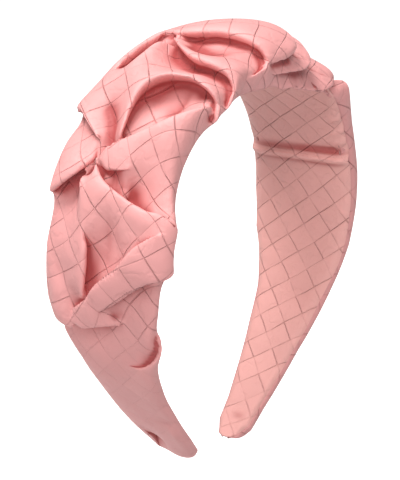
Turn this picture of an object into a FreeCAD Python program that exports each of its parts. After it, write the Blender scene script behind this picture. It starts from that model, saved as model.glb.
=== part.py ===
import FreeCAD, Part
import math
import os

os.makedirs("parts", exist_ok=True)
V = FreeCAD.Vector

# ---- driving dimensions, mm ------------------------------------------------
HEAD_R = 60.0          # inner radius of the round part of the band
ROUND_HALF = 126.0     # degrees of round part on each side of the top
ARM_R = 200.0          # flatter radius of the last stretch of each arm
ARM_TURN = 13.5        # degrees turned over that last stretch

LINING_T = 0.8         # inner panel
HOOP_LIFT = 1.0        # hoop's underside above the head circle
HOOP_T = 2.0           # plastic hoop
FOAM_LIFT = 3.15       # foam's underside above the head circle
COVER_LIFT = 0.95      # lower edge of the outer panel
COVER_T = 1.2          # fabric of the outer panel with its backing
SEAM_T = 0.7           # thread of the two long edge seams

HINGE_DEG = 55.0       # where the band bends, from the top
HINGE_R = 65.0
KNUCKLE_R = 13.0
KNUCKLE_GAP = 0.35

# half width of the cover against distance from the top along the head circle
WIDTHS = [(0, 23.0), (30, 23.0), (60, 22.0), (90, 21.5), (108, 19.6),
          (125, 16.6), (143, 12.2), (160, 9.2), (172, 7.4)]
# how far the middle of the band leans to the front towards the tips
SHIFTS = [(0, 0.0), (60, 0.0), (90, -0.5), (125, -1.4), (172, -3.4)]
# height of the cover's outer face above the head circle
HEIGHTS = [(0, 15.0), (35, 14.5), (62, 12.5), (80, 11.0), (98, 9.0),
           (112, 7.6), (125, 7.0), (150, 6.8), (172, 6.4)]
# height of the foam pad's outer face, thinner towards the tips
FOAM_HEIGHTS = [(0, 7.2), (60, 7.0), (110, 5.6), (172, 4.6)]


def value_at(table, s):
    """Straight-line reading of a table of (distance, value)."""
    s = abs(s)
    for (s0, v0), (s1, v1) in zip(table, table[1:]):
        if s <= s1:
            return v0 + (v1 - v0) * (s - s0) / (s1 - s0)
    return table[-1][1]


ROUND_S = HEAD_R * math.radians(ROUND_HALF)
END_S = ROUND_S + ARM_R * math.radians(ARM_TURN)


def frame_at(s):
    """Point on the head curve and outward direction at distance s."""
    side = 1.0 if s >= 0 else -1.0
    a = abs(s)
    if a <= ROUND_S:
        turn = a / HEAD_R
        x, z = HEAD_R * math.sin(turn), HEAD_R * math.cos(turn)
    else:
        start = math.radians(ROUND_HALF)
        turn = start + (a - ROUND_S) / ARM_R
        back = HEAD_R - ARM_R
        x = back * math.sin(start) + ARM_R * math.sin(turn)
        z = back * math.cos(start) + ARM_R * math.cos(turn)
    out = V(side * math.sin(turn), 0, math.cos(turn))
    return V(side * x, 0, z), out


def at(s, lift, y=0.0):
    point, out = frame_at(s)
    return point + out * lift + V(0, y, 0)


def arc(s0, s1, lift):
    return Part.Arc(at(s0, lift), at((s0 + s1) / 2.0, lift), at(s1, lift)).toShape()


def ring(low, high, trim, depth=60.0):
    """Band between two heights, trim mm short of each tip, extruded in Y."""
    end = END_S - trim
    stops = [-end, -ROUND_S, 0.0, ROUND_S, end]
    outer = [arc(a, b, high) for a, b in zip(stops, stops[1:])]
    inner = [arc(b, a, low) for a, b in zip(stops, stops[1:])][::-1]
    right = Part.makeLine(at(end, high), at(end, low))
    left = Part.makeLine(at(-end, low), at(-end, high))
    wire = Part.Wire(outer + [right] + inner + [left])
    face = Part.Face(wire)
    solid = face.extrude(V(0, depth, 0))
    solid.translate(V(0, -depth / 2.0, 0))
    return solid


def planform(margin, trim, depth=200.0):
    """Outline of the band seen from the side, margin mm inside the cover."""
    stations = [96, 108, 118, 128, 138, 148, 158, END_S - trim - 4.0]
    rows = [(value_at(SHIFTS, s), value_at(WIDTHS, s) - margin, at(s, 3.0).z)
            for s in stations]
    tip = at(END_S - trim, 3.0).z
    rows.append((value_at(SHIFTS, END_S), rows[-1][1] * 0.55, tip + 0.6))
    back, front = Part.BSplineCurve(), Part.BSplineCurve()
    back.interpolate([V(0, mid + half, z) for mid, half, z in rows])
    front.interpolate([V(0, mid - half, z) for mid, half, z in rows[::-1]])
    top = value_at(WIDTHS, 0) - margin
    mid, half, z = rows[0]
    upper = [V(0, mid + half, z), V(0, top - 0.6, 22), V(0, top, 48), V(0, top, 90),
             V(0, -top, 90), V(0, -top, 48), V(0, -top + 0.6, 22), V(0, mid - half, z)]
    edges = [Part.makeLine(a, b) for a, b in zip(upper, upper[1:])]
    mid, half, z = rows[-1]
    nose = Part.Arc(V(0, mid - half, z), V(0, mid, tip), V(0, mid + half, z))
    edges += [front.toShape(), nose.toShape(), back.toShape()]
    wire = Part.Wire(Part.__sortEdges__(edges))
    solid = Part.Face(wire).extrude(V(depth, 0, 0))
    solid.translate(V(-depth / 2.0, 0, 0))
    return solid


def section(s, low, high, half, corner):
    """Closed outline across the band with rounded outer corners."""
    c = min(corner, half * 0.8, (high - low) * 0.7)
    k = c * (1 - math.sqrt(0.5))
    mid = value_at(SHIFTS, s)
    left, right = mid - half, mid + half
    p = [at(s, low, left), at(s, high - c, left), at(s, high, left + c),
         at(s, high, right - c), at(s, high - c, right), at(s, low, right)]
    m1, m2 = at(s, high - k, left + k), at(s, high - k, right - k)
    edges = [Part.makeLine(p[0], p[1]), Part.Arc(p[1], m1, p[2]).toShape(),
             Part.makeLine(p[2], p[3]), Part.Arc(p[3], m2, p[4]).toShape(),
             Part.makeLine(p[4], p[5]), Part.makeLine(p[5], p[0])]
    return Part.Wire(edges)


def padded_loft(low, heights, inset, corner, trim):
    """Smooth body along the band, inset mm inside the cover's edges."""
    end = END_S - trim
    stations = [0, 18, 36, 52, 66, 80, 92, 104, 114, 124, 134, 144, 154, 164,
                end - 5.0, end - 2.2, end - 0.7, end]
    narrow = {end - 2.2: 0.90, end - 0.7: 0.74, end: 0.5}
    stations = [-s for s in stations[:0:-1]] + stations
    wires = []
    for s in stations:
        half = (value_at(WIDTHS, s) - inset) * narrow.get(abs(s), 1.0)
        high = value_at(heights, s)
        if abs(s) in narrow:
            high = low + (high - low) * (0.5 + 0.5 * narrow[abs(s)])
        wires.append(section(s, low, high, half, max(corner - inset, 1.0)))
    return Part.makeLoft(wires, True, False)


def arm_zone(side, grow):
    """Everything that moves with one arm: beyond the hinge, plus the knuckle."""
    a = math.radians(HINGE_DEG)
    corners = [(0, 0), (200 * math.sin(a), 200 * math.cos(a)), (300, 0),
               (300, -300), (0, -300), (0, 0)]
    face = Part.Face(Part.makePolygon([V(side * x, -100, z) for x, z in corners]))
    zone = face.extrude(V(0, 200, 0))
    centre = V(side * HINGE_R * math.sin(a), -100, HINGE_R * math.cos(a))
    knuckle = Part.makeCylinder(KNUCKLE_R + grow, 200, centre, V(0, 1, 0))
    return zone.fuse(knuckle)


def biggest(shape):
    return max(shape.Solids, key=lambda s: s.Volume)


def split(shape):
    """Cut a layer into its left arm, crown and right arm."""
    left = biggest(shape.common(arm_zone(-1, 0.0)))
    right = biggest(shape.common(arm_zone(1, 0.0)))
    middle = shape.cut(arm_zone(-1, KNUCKLE_GAP)).cut(arm_zone(1, KNUCKLE_GAP))
    return {"left": left, "crown": biggest(middle), "right": right}


def capsule(s, lift, y, length, width, lean=0.0):
    """Short bar of wound thread lying across the band at one spot."""
    bar = Part.makeBox(width, length, width, V(-width / 2.0, -length / 2.0, -width / 2.0))
    bar = bar.makeFillet(width * 0.3, bar.Edges)
    bar.rotate(V(0, 0, 0), V(0, 0, 1), lean)
    point, out = frame_at(s)
    bar.rotate(V(0, 0, 0), V(0, 1, 0), math.degrees(math.atan2(out.x, out.z)))
    bar.translate(point + out * lift + V(0, y, 0))
    return bar


lining = ring(0.0, LINING_T, 1.4).common(planform(1.7, 1.4))
hoop = ring(HOOP_LIFT, HOOP_LIFT + HOOP_T, 3.5).common(planform(4.0, 3.5))
hollow = [(s, high - COVER_T) for s, high in HEIGHTS]
foam = padded_loft(FOAM_LIFT, FOAM_HEIGHTS, 2.6, 5.0, 4.0)
body = padded_loft(COVER_LIFT, HEIGHTS, 0.0, 6.0, 0.0)
cavity = padded_loft(COVER_LIFT - 1.5, hollow, COVER_T, 6.0, COVER_T)
cover = body.cut(cavity)


def seam(side):
    """Thread run under one long edge, between inner and outer panels."""
    middle = value_at(SHIFTS, END_S)
    low = ring(0.1, 0.1 + SEAM_T, 2.0)
    strip = low.common(planform(0.7, 2.0).cut(planform(1.6, 2.4)))
    half = Part.makeBox(300, 100, 300, V(-150, middle - (0 if side > 0 else 100), -150))
    tip_gap = Part.makeBox(300, 4.4, 300, V(-150, middle - 2.2, -150))
    return strip.common(half).cut(tip_gap).cut(lining)


layers = {"lining": split(lining), "hoop": split(hoop), "foam": split(foam),
          "cover": split(cover), "front_seam": split(seam(-1)), "back_seam": split(seam(1))}

# hand stitches that hold the folds down: distance, height, y, length, lean
TACKS = {
    "crown_front_pleat_tack": ("crown", -19.0, 14.0, -17.0, 4.0, 20.0),
    "crown_back_pleat_tack": ("crown", 12.0, 14.4, 15.0, 4.0, -25.0),
    "crown_scoop_tack": ("crown", -34.0, 14.1, -13.0, 4.0, 35.0),
    "left_gather_tack": ("left", -70.0, 11.3, 8.0, 4.0, 0.0),
    "left_lip_tack": ("left", -98.0, 8.4, 4.0, 3.5, 15.0),
    "right_gather_tack": ("right", 70.0, 11.3, 8.0, 4.0, 0.0),
    "right_lip_tack": ("right", 98.0, 8.4, 4.0, 3.5, -15.0),
}
tacks = {}
for name, (place, s, lift, y, length, lean) in TACKS.items():
    tacks[name] = capsule(s, lift, y, length, 1.6, lean)
    layers["cover"][place] = biggest(layers["cover"][place].cut(tacks[name]))

# whip stitches that close each tip
for side, place in ((-1, "left"), (1, "right")):
    point = END_S - 0.9
    tip = capsule(side * point, 0.45, value_at(SHIFTS, END_S), 4.0, 0.8)
    tacks[place + "_tip_stitches"] = tip
    for layer in ("cover", "lining"):
        layers[layer][place] = biggest(layers[layer][place].cut(tip))

NAMES = {"lining": "{}_lining", "hoop": "{}_hoop", "foam": "{}_foam_pad",
         "cover": "{}_cover", "front_seam": "{}_front_seam", "back_seam": "{}_back_seam"}
for layer, thirds in layers.items():
    for place, shape in thirds.items():
        shape.exportStep("parts/" + NAMES[layer].format(place) + ".step")
for name, shape in tacks.items():
    shape.exportStep("parts/" + name + ".step")
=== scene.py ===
"""Padded hair band with gathered folds: its looks, built over the CAD frame."""

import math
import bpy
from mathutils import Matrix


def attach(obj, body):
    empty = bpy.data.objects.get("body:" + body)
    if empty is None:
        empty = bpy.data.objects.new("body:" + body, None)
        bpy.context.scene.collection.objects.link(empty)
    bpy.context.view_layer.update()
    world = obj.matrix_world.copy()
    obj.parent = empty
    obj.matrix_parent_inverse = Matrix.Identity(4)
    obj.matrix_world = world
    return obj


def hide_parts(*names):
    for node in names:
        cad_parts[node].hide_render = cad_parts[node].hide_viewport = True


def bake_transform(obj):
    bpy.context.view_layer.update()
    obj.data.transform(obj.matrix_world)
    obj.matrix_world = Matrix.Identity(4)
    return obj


bl_info = {
    "name": "Gathered hair band",
    "version": (1, 0, 0),
    "blender": (4, 5, 0),
    "location": "3D View > Sidebar > Hair band",
    "description": "Builds a padded hair band with a gathered, basket-embossed fabric cover",
    "category": "Object",
}

import bmesh
import bpy
import numpy as np
from bpy.props import FloatProperty, FloatVectorProperty, IntProperty, PointerProperty
from mathutils import Matrix, Vector

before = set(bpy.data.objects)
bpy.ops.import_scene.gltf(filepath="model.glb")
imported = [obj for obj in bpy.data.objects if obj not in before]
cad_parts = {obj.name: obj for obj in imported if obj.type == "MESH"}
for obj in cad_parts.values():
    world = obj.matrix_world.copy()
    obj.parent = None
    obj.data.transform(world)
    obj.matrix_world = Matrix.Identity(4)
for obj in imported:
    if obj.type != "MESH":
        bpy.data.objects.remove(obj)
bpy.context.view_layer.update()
MM = 0.001

# ---- the band's run: a round part, then a flatter stretch to each tip, mm ----
HEAD_R = 60.0
ROUND_HALF = math.radians(126.0)
ARM_R = 200.0
ARM_TURN = math.radians(13.5)
ROUND_S = HEAD_R * ROUND_HALF
END_S = ROUND_S + ARM_R * ARM_TURN

# half width, height and lean of the cover against distance from the top
WIDTHS = [(0, 22.4), (30, 22.4), (60, 21.2), (90, 21.2), (104, 20.0), (112, 17.9),
          (125, 14.6), (143, 11.5), (160, 9.4), (173, 7.6), (178, 4.4), (179.1, 2.0)]
HEIGHTS = [(0, 12.6), (35, 12.6), (62, 11.5), (80, 10.2), (98, 8.6),
           (112, 7.0), (125, 6.6), (150, 6.5), (173, 6.2), (178, 5.2), (179.1, 4.0)]
SHIFTS = [(0, 0.0), (60, 0.0), (90, -0.3), (104, -1.0), (112, -2.0), (125, -2.9), (143, -2.8),
          (179.1, -3.4)]
# the left tip is fuller than the right one
TIP_CHANGE = [(-179.1, 1.0), (-165, 1.3), (-150, 0.7), (-138, 0), (138, 0), (150, -0.5), (165, -1.1),
              (179.1, -0.6)]
# how far the left arm's end leans to the front, against distance down that arm
LEFT_LEAN = [(140, 0), (165, 1.0), (179, 0.8)]
# how far the pleats hang below the head curve along the front edge
FRONT_SAG = [(-42, 0), (-28, 1.5), (-12, 4.5), (10, 6.0), (26, 4.5), (38, 1.0), (46, 0)]
# the arms' ends reach further than the plain run, and the right one stands off a little
END_FROM, END_SPAN = 120, 59
LEFT_REACH, RIGHT_REACH, RIGHT_LIFT = 3.5, 7.5, 3.0
# where the tips start to close
TIP_FROM = 175.0
COVER_SEAM_LIFT = 0.9
COVER_TIP_LIFT = 0.3
COVER_CUT = 22


def table(rows, s):
    """Straight-line reading of rows of (distance from the top, value), alike on both sides."""
    xs, ys = zip(*rows)
    return np.interp(np.abs(s), xs, ys)


def run_frame(s):
    """x, z of the head curve and its outward direction, for distances s in mm."""
    s = np.asarray(s, float)
    side, a = np.where(s < 0, -1.0, 1.0), np.abs(s)
    t1 = a / HEAD_R
    t2 = ROUND_HALF + (a - ROUND_S) / ARM_R
    back = HEAD_R - ARM_R
    rounded = a <= ROUND_S
    t = np.where(rounded, t1, t2)
    x = np.where(rounded, HEAD_R * np.sin(t1), back * math.sin(ROUND_HALF) + ARM_R * np.sin(t2))
    z = np.where(rounded, HEAD_R * np.cos(t1), back * math.cos(ROUND_HALF) + ARM_R * np.cos(t2))
    return side * x, z, side * np.sin(t), np.cos(t)


def bend(flat):
    """Points (distance, y, lift) in mm, bent round the head, in metres."""
    s = flat[..., 0]
    far = np.clip((np.abs(s) - END_FROM) / END_SPAN, 0, 1) ** 1.3
    x, z, nx, nz = run_frame(s + np.sign(s) * far * np.where(s < 0, LEFT_REACH, RIGHT_REACH))
    lift = flat[..., 2] + far * np.where(s < 0, 0.0, RIGHT_LIFT)
    return np.stack([x + nx * lift, flat[..., 1], z + nz * lift], -1) * MM


def section(s, count):
    """Cover's section from the back seam over the top to the front seam: y and lift.

    s is a 1-D array of distances; the result has shape (len(s), count, 2)."""
    half = table(WIDTHS, s)[:, None]
    half = np.maximum(half + np.interp(s, *zip(*TIP_CHANGE))[:, None], 1.2)
    high = table(HEIGHTS, s)[:, None]
    sag = np.interp(s, *zip(*FRONT_SAG))[:, None]
    mid = high * 0.42
    power = 2 / 2.7
    up = np.linspace(math.pi / 2, 0, 60)[None]
    y_up = half * np.sin(up) ** power
    l_up = mid + (high - mid) * np.cos(up) ** power
    turn = np.linspace(math.pi, 0, 26)[None, :-1]
    tuck = np.minimum(3.0, half * 0.4)
    y_un = half - tuck * ((1 - np.cos(turn)) / 2) ** 2.5
    l_un = COVER_SEAM_LIFT + (mid - COVER_SEAM_LIFT) * (1 + np.cos(turn)) / 2
    y_front = y_un + 0.45 * sag * np.sin(turn)
    l_front = l_un - 1.4 * sag * np.sin(turn) ** 2
    y = np.concatenate([y_un, y_up, -y_up[:, -2::-1], -y_front[:, ::-1]], 1)
    l = np.concatenate([l_un, l_up, l_up[:, -2::-1], l_front[:, ::-1]], 1)
    step = np.hypot(np.diff(y, axis=1), np.diff(l, axis=1))
    run = np.concatenate([np.zeros((len(s), 1)), np.cumsum(step, 1)], 1)
    want = np.linspace(0, 1, count)
    out = np.empty((len(s), count, 2))
    for i in range(len(s)):
        t = want * run[i, -1]
        out[i, :, 0] = np.interp(t, run[i], y[i])
        out[i, :, 1] = np.interp(t, run[i], l[i])
    out[..., 0] += (table(SHIFTS, s) - np.interp(-s, *zip(*LEFT_LEAN)))[:, None]
    return out


def smooth_line(points, step=0.5):
    """Even samples along a smooth curve through rows of numbers; the first three are a place."""
    p = np.array(points, float)
    if len(p) > 2:
        ends = np.vstack([2 * p[0] - p[1], p, 2 * p[-1] - p[-2]])
        t = np.linspace(0, 1, 13)[:-1, None]
        parts = []
        for a, b, c, d in zip(ends, ends[1:], ends[2:], ends[3:]):
            parts.append(0.5 * (2 * b + (c - a) * t + (2 * a - 5 * b + 4 * c - d) * t ** 2
                                + (3 * b - a - 3 * c + d) * t ** 3))
        p = np.vstack(parts + [p[-1:]])
    run = np.concatenate([[0], np.cumsum(np.linalg.norm(np.diff(p[:, :3], axis=0), axis=1))])
    want = np.linspace(0, run[-1], max(int(run[-1] / step), 2) + 1)
    return np.stack([np.interp(want, run, p[:, k]) for k in range(p.shape[1])], 1)


class Cloth:
    """Flat grid of cloth over the band, pushed and pulled by folds."""

    def __init__(self, coarse):
        self.coarse = coarse
        self.rows, self.cols = 360 // coarse + 1, 80 // coarse + 1
        s = np.linspace(-END_S, END_S, self.rows)
        self.base = np.concatenate([np.repeat(s[:, None, None], self.cols, 1),
                                    section(s, self.cols)], 2)
        out = np.cross(np.gradient(self.base, axis=0), np.gradient(self.base, axis=1))
        out /= np.maximum(np.linalg.norm(out, axis=2, keepdims=True), 1e-9)
        centre = out[self.rows // 2, self.cols // 2, 2]
        self.out = out if centre > 0 else -out
        self.stiff = np.ones((self.rows, self.cols))
        self.rc, self.goal, self.grip = [], [], []

    def place(self, points):
        """Grid row and column nearest to points in flat space."""
        r = np.clip((points[:, 0] + END_S) / (2 * END_S) * (self.rows - 1), 0, self.rows - 1.001)
        lo = r.astype(int)
        w = (r - lo)[:, None, None]
        sec = self.base[lo, :, 1:] * (1 - w) + self.base[lo + 1, :, 1:] * w
        a, d = sec[:, :-1], sec[:, 1:] - sec[:, :-1]
        t = ((points[:, None, 1:] - a) * d).sum(2) / np.maximum((d * d).sum(2), 1e-9)
        t = np.clip(t, 0, 1)
        gap = np.linalg.norm(points[:, None, 1:] - (a + d * t[..., None]), axis=2)
        k = gap.argmin(1)
        c = k + t[np.arange(len(k)), k]
        return np.stack([r, np.clip(c, 0, self.cols - 1.001)], 1)

    def read(self, grid, rc):
        i, j = rc[:, 0].astype(int), rc[:, 1].astype(int)
        u, v = (rc[:, 0] - i)[:, None], (rc[:, 1] - j)[:, None]
        return (grid[i, j] * (1 - u) * (1 - v) + grid[i + 1, j] * u * (1 - v)
                + grid[i, j + 1] * (1 - u) * v + grid[i + 1, j + 1] * u * v)

    def pull(self, material, goal, grip=1.0):
        """The cloth that lies at material in the flat is drawn to goal."""
        rc = self.place(material)
        self.rc.append(rc)
        self.goal.append(goal - self.read(self.base, rc))
        self.grip.append(np.full(len(rc), grip))

    def soften(self, points, reach, floor):
        """Lets the cloth crease sharply near points."""
        rc = self.place(points)
        near = np.full((self.rows, self.cols), 1e9)
        i, j = np.indices((self.rows, self.cols))
        for r, c in rc[::2]:
            a, b = max(int(r) - 8, 0), int(r) + 9
            d = np.hypot(i[a:b] - r, j[a:b] - c)
            near[a:b] = np.minimum(near[a:b], d)
        k = floor + (1 - floor) * np.clip(near * self.coarse / reach, 0, 1) ** 2
        self.stiff = np.minimum(self.stiff, k)

    def sides(self, line, toward):
        """Directions across a line, in the cloth's face, on the side of toward."""
        rc = self.place(line[:, :3])
        out = self.read(self.out, rc)
        along = np.gradient(line[:, :3], axis=0)
        side = np.cross(out, along)
        side /= np.maximum(np.linalg.norm(side, axis=1, keepdims=True), 1e-9)
        if (side @ np.array(toward, float)).mean() < 0:
            side = -side
        return side, out

    def ridge(self, points, sharp=0.1, reach=2.0, grip=1.0):
        """A soft or crisp line that the cloth passes through: rows of distance, y, lift."""
        line = smooth_line(points)
        self.pull(line[:, :3], line[:, :3], grip)
        if sharp < 1:
            self.soften(line[:, :3], reach, sharp)

    def fold(self, points, toward, sharp=0.15):
        """A fold whose crest laps over the cloth beside it.

        Rows are distance, y and lift of the crest, how far it laps and how deep it is."""
        line = smooth_line(points)
        crest, lap, deep = line[:, :3], line[:, 3:4], line[:, 4:5]
        side, out = self.sides(line, toward)
        nose = np.minimum(1.2, deep * 0.3)
        m0 = -lap - 0.6
        m1 = m0 + 1.2
        m2 = m1 + np.maximum(1.0, deep * 0.35)
        m3 = m2 + np.maximum(1.0, deep * 0.35)
        self.pull(crest + side * m0, crest, 1.5)
        self.pull(crest + side * m1, crest + side * 0.6 - out * nose, 1.0)
        self.pull(crest + side * m2, crest - side * lap * 0.55 - out * deep * 0.8, 1.0)
        self.pull(crest + side * m3, crest + side * 1.2 - out * deep, 1.0)
        self.soften(crest - side * lap * 0.6, 2.5 + float(lap.max()) * 0.5, sharp)

    def settle(self, start, turns):
        """Least bending that meets every pull, by conjugate gradients."""
        rc = np.concatenate(self.rc)
        goal, grip = np.concatenate(self.goal), np.concatenate(self.grip)[:, None] * 2.0
        i, j = rc[:, 0].astype(int), rc[:, 1].astype(int)
        u, v = rc[:, 0] - i, rc[:, 1] - j
        size = self.rows * self.cols
        spots = np.stack([i * self.cols + j, (i + 1) * self.cols + j,
                          i * self.cols + j + 1, (i + 1) * self.cols + j + 1])
        shares = np.stack([(1 - u) * (1 - v), u * (1 - v), (1 - u) * v, u * v])
        h = self.coarse
        bend_k = self.stiff[..., None] / h ** 2
        hold = np.full((self.rows, self.cols, 1), 2e-4 * h ** 2)
        hold[:, 0] = hold[:, -1] = 4.0
        hold[0] = hold[-1] = 4.0

        def lap(d):
            p = np.pad(d, ((1, 1), (1, 1), (0, 0)), mode="edge")
            return p[2:, 1:-1] + p[:-2, 1:-1] + p[1:-1, 2:] + p[1:-1, :-2] - 4 * d

        def spread(values):
            flat = np.stack([sum(np.bincount(n, w * values[:, k], size) for n, w in zip(spots, shares))
                             for k in range(3)], 1)
            return flat.reshape(self.rows, self.cols, 3)

        def apply(d):
            near = d.reshape(-1, 3)
            got = sum(near[n] * w[:, None] for n, w in zip(spots, shares))
            flat = lap(d)
            return lap(bend_k * flat) - 0.03 * flat + hold * d + spread(got * grip)

        d = start.copy()
        r = spread(goal * grip) - apply(d)
        p, rr = r.copy(), (r * r).sum()
        first = rr
        for _ in range(turns):
            ap = apply(p)
            a = rr / max((p * ap).sum(), 1e-20)
            d += a * p
            r -= a * ap
            new = (r * r).sum()
            if new < first * 1e-10:
                break
            p = r + p * (new / rr)
            rr = new
        return d


def resample(grid, rows, cols):
    """Smooth resize of a grid of vectors."""
    def one(g, count):
        n = len(g)
        t = np.linspace(0, n - 1, count)
        k = np.clip(t.astype(int), 0, n - 2)
        f = (t - k).reshape((-1,) + (1,) * (g.ndim - 1))
        a, b, c, d = g[np.maximum(k - 1, 0)], g[k], g[k + 1], g[np.minimum(k + 2, n - 1)]
        return 0.5 * (2 * b + (c - a) * f + (2 * a - 5 * b + 4 * c - d) * f ** 2
                      + (3 * b - a - 3 * c + d) * f ** 3)
    return one(one(grid, rows).swapaxes(0, 1), cols).swapaxes(0, 1)


def gather(cloth):
    """Every fold of the cover, as distance from the top, y and lift in mm."""
    down, up, front, low = (-1, 0, 0), (1, 0, 0), (0, -1, 0), (1, 0, -1)
    fold, ridge = cloth.fold, cloth.ridge
    # left side: folds that meet at the gather
    fold([(-64, 7, 11, 2, 4), (-67, 9, 12, 3, 6), (-69, 11, 12.5, 4, 6), (-72, 15, 12, 4, 6),
          (-75, 20, 9.5, 3, 4)], down)
    fold([(-65, 6, 11.5, 0.8, 2), (-68, 3, 12, 2, 4.5), (-70.5, -1, 12.5, 2.5, 6),
          (-73, -8, 12.8, 2.5, 6.5), (-75, -16, 12.8, 2, 5), (-76, -23, 11.2, 1.5, 3),
          (-77, -27.5, 8, 1, 1)], up)
    ridge([(-66, 8, 11.2), (-70, 8.5, 11.6), (-76, 5.5, 11.5), (-86, 3, 11)])
    fold([(-64, 6, 11.5, 0.8, 2), (-62.5, 2.5, 13, 1.6, 4), (-60, -2, 14, 2.4, 5), (-56, -9, 14.4, 2.6, 6),
          (-51, -16, 14.2, 2.6, 6), (-46, -22, 12.4, 2.4, 5), (-42, -25.5, 9, 1.6, 3)], up)
    fold([(-65, 4, 11.6, 0.2, 1), (-66, 0.5, 12, 0.4, 2), (-66, -4, 12.4, 0.3, 1.6),
          (-65.5, -8, 12.6, 0.2, 0.8)], down, 0.3)
    ridge([(-68, 1, 10.6), (-69, -3, 11), (-70.5, -8, 11.6)], 1.0)
    # left side: the long crest down to the lip, the hollow beside it and the hem
    fold([(-84, 3, 11.3, 0.5, 1), (-88, 2, 11.3, 1.5, 4), (-93, 2, 11, 2, 5), (-98, 2.5, 10.5, 1.5, 4),
          (-102, 3, 10, 0.5, 1)], front)
    fold([(-107, 8, 9.8, 0.5, 1), (-102, 1, 10.8, 1.5, 4), (-97, -4, 11.8, 2, 5), (-91, -12, 12.4, 2, 4),
          (-85, -17, 12.6, 1, 2), (-80, -24, 11, 0.5, 1)], up)
    ridge([(-80, -4, 9), (-85, -4, 7), (-90, -4, 6.3), (-94, -2.5, 6.5)], 1.0)
    fold([(-91, -27, 5, 1, 3), (-92, -24.5, 8.5, 2.2, 4.5), (-93, -21, 9.6, 2.6, 5),
          (-96, -15, 9.8, 2.2, 4.5), (-101, -8, 9.6, 1.2, 3), (-104, -3, 9.4, 0.5, 1)], down)
    ridge([(-78, -27, 7.5), (-84, -27, 6.5), (-90, -27, 5.5)], 0.5)
    fold([(-108, 19, 5, 1, 2), (-110, 15, 8.8, 2, 4), (-111, 11, 10, 3, 5), (-111, 6, 9.8, 3, 5),
          (-110, 0, 8.8, 2.2, 4), (-109, -5, 7.6, 1, 2), (-108, -9, 6.6, 0.4, 1)], down)
    ridge([(-101, -16, 4.8), (-105, -11, 5.2), (-107, -6, 6)], 1.0)
    ridge([(-90, 21, 5), (-92, 18, 7.6), (-95, 14, 8), (-97, 10, 8.8)], 0.5)
    ridge([(-101, 19, 7), (-104, 14, 9.6), (-105, 9, 10)], 1.0)
    ridge([(-116, 16, 5), (-117, 8, 6.2), (-117, -4, 6.2), (-114, -14, 5.6)], 1.0)
    # left arm: tuck at the front edge and crease at the tip
    fold([(-112, -20.5, 2, 1, 2), (-116, -21.5, 4, 1.8, 3), (-119.5, -19, 6.4, 1.8, 3),
          (-122, -14, 7, 1, 1.5), (-122.5, -10, 6.8, 0.5, 0.5)], up)
    ridge([(-148, -2, 6.2), (-151, -8, 5.0), (-152, -14, 4.2)], 0.15)
    ridge([(-156, -12, 5.8), (-163, -10, 5.6)], 1.0)
    fold([(-163, 1, 5.4, 0.3, 1), (-167, 1.5, 5.2, 0.8, 2.5), (-172, 2.5, 4.8, 0.3, 1)], front)
    # upper left: notch where the big back puff ends, and the valley beside it
    fold([(-50, 23, 6.5, 1, 2), (-50.5, 21, 10.6, 2.5, 4), (-52, 17, 12.6, 2.5, 4), (-55, 12.5, 13, 1.5, 3),
          (-58.5, 7, 12.4, 0.8, 1.5)], down)
    ridge([(-50, 9, 10.6), (-54, 5, 9.8), (-58, 2, 9.8)], 0.5)
    ridge([(-60, 20, 8.6), (-62, 14, 10.8)], 1.0)
    # left scoop: a roll bent into a cup
    fold([(-60, -1.5, 13.2, 0.5, 2), (-55, -1, 14, 1.5, 4), (-50, -0.5, 14.6, 2, 5.5),
          (-45.5, -0.5, 15.2, 2.4, 7), (-41.5, -2, 15.5, 2.4, 8), (-38.8, -5.5, 15.7, 2.2, 8),
          (-37.6, -10.5, 15.6, 2, 7.5), (-37.6, -16, 15, 1.6, 7), (-38.4, -21.5, 12.6, 1.4, 6),
          (-40, -25, 8.5, 1, 4), (-44, -25.5, 5, 0.8, 3)], front)
    ridge([(-51, -8, 8), (-45, -8, 6.4), (-42, -13, 6.2)], 1.0)
    # the long pleat that laps over the scoop's roll
    fold([(-16, 9, 13.2, 0.6, 2), (-20, 5, 13.8, 1.2, 4), (-24, 0, 14.3, 1.6, 6), (-28, -6, 14.8, 1.6, 6),
          (-30, -11, 14.8, 1.4, 6), (-31, -18, 14.2, 1.2, 5), (-31, -23, 11.5, 1, 4), (-33, -26, 7.5, 1, 3),
          (-38, -26, 4.5, 0.6, 2)], down)
    # back edge: a roll that ends over the crown, and how high it stands
    fold([(-36, 15, 12, 0.4, 1), (-33, 15.5, 12.2, 1.6, 4), (-29, 15, 12.2, 2, 5), (-23, 13.5, 12.6, 2, 5),
          (-18, 11, 13.4, 0.8, 2)], front)
    ridge([(-48, 14, 12.4), (-42, 11, 13.4), (-35, 9.5, 14), (-29, 7.5, 14.4), (-23, 6, 14.2)], 1.0)
    ridge([(-46, 21, 8.4), (-38, 21, 7.2), (-29, 20.5, 7.2), (-17, 19, 8.8), (-3, 18, 9.2), (10, 17, 9.2),
           (26, 17, 9.4)], 1.0)
    # right scoop
    fold([(-17, 8, 13.6, 0.5, 2), (-17, 3, 14.2, 1.4, 4), (-16, -3, 14.8, 2, 5), (-15, -9, 15, 2, 5),
          (-15, -16, 14.4, 1.6, 5), (-14, -21.5, 12, 1.2, 4), (-13.5, -25, 8, 1, 4), (-16, -26, 5.2, 0.8, 3),
          (-21, -25.5, 4.6, 0.5, 1)], down)
    ridge([(-21, 0, 9.8), (-22, -7, 9.2), (-21, -14, 9.2)], 1.0)
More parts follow.
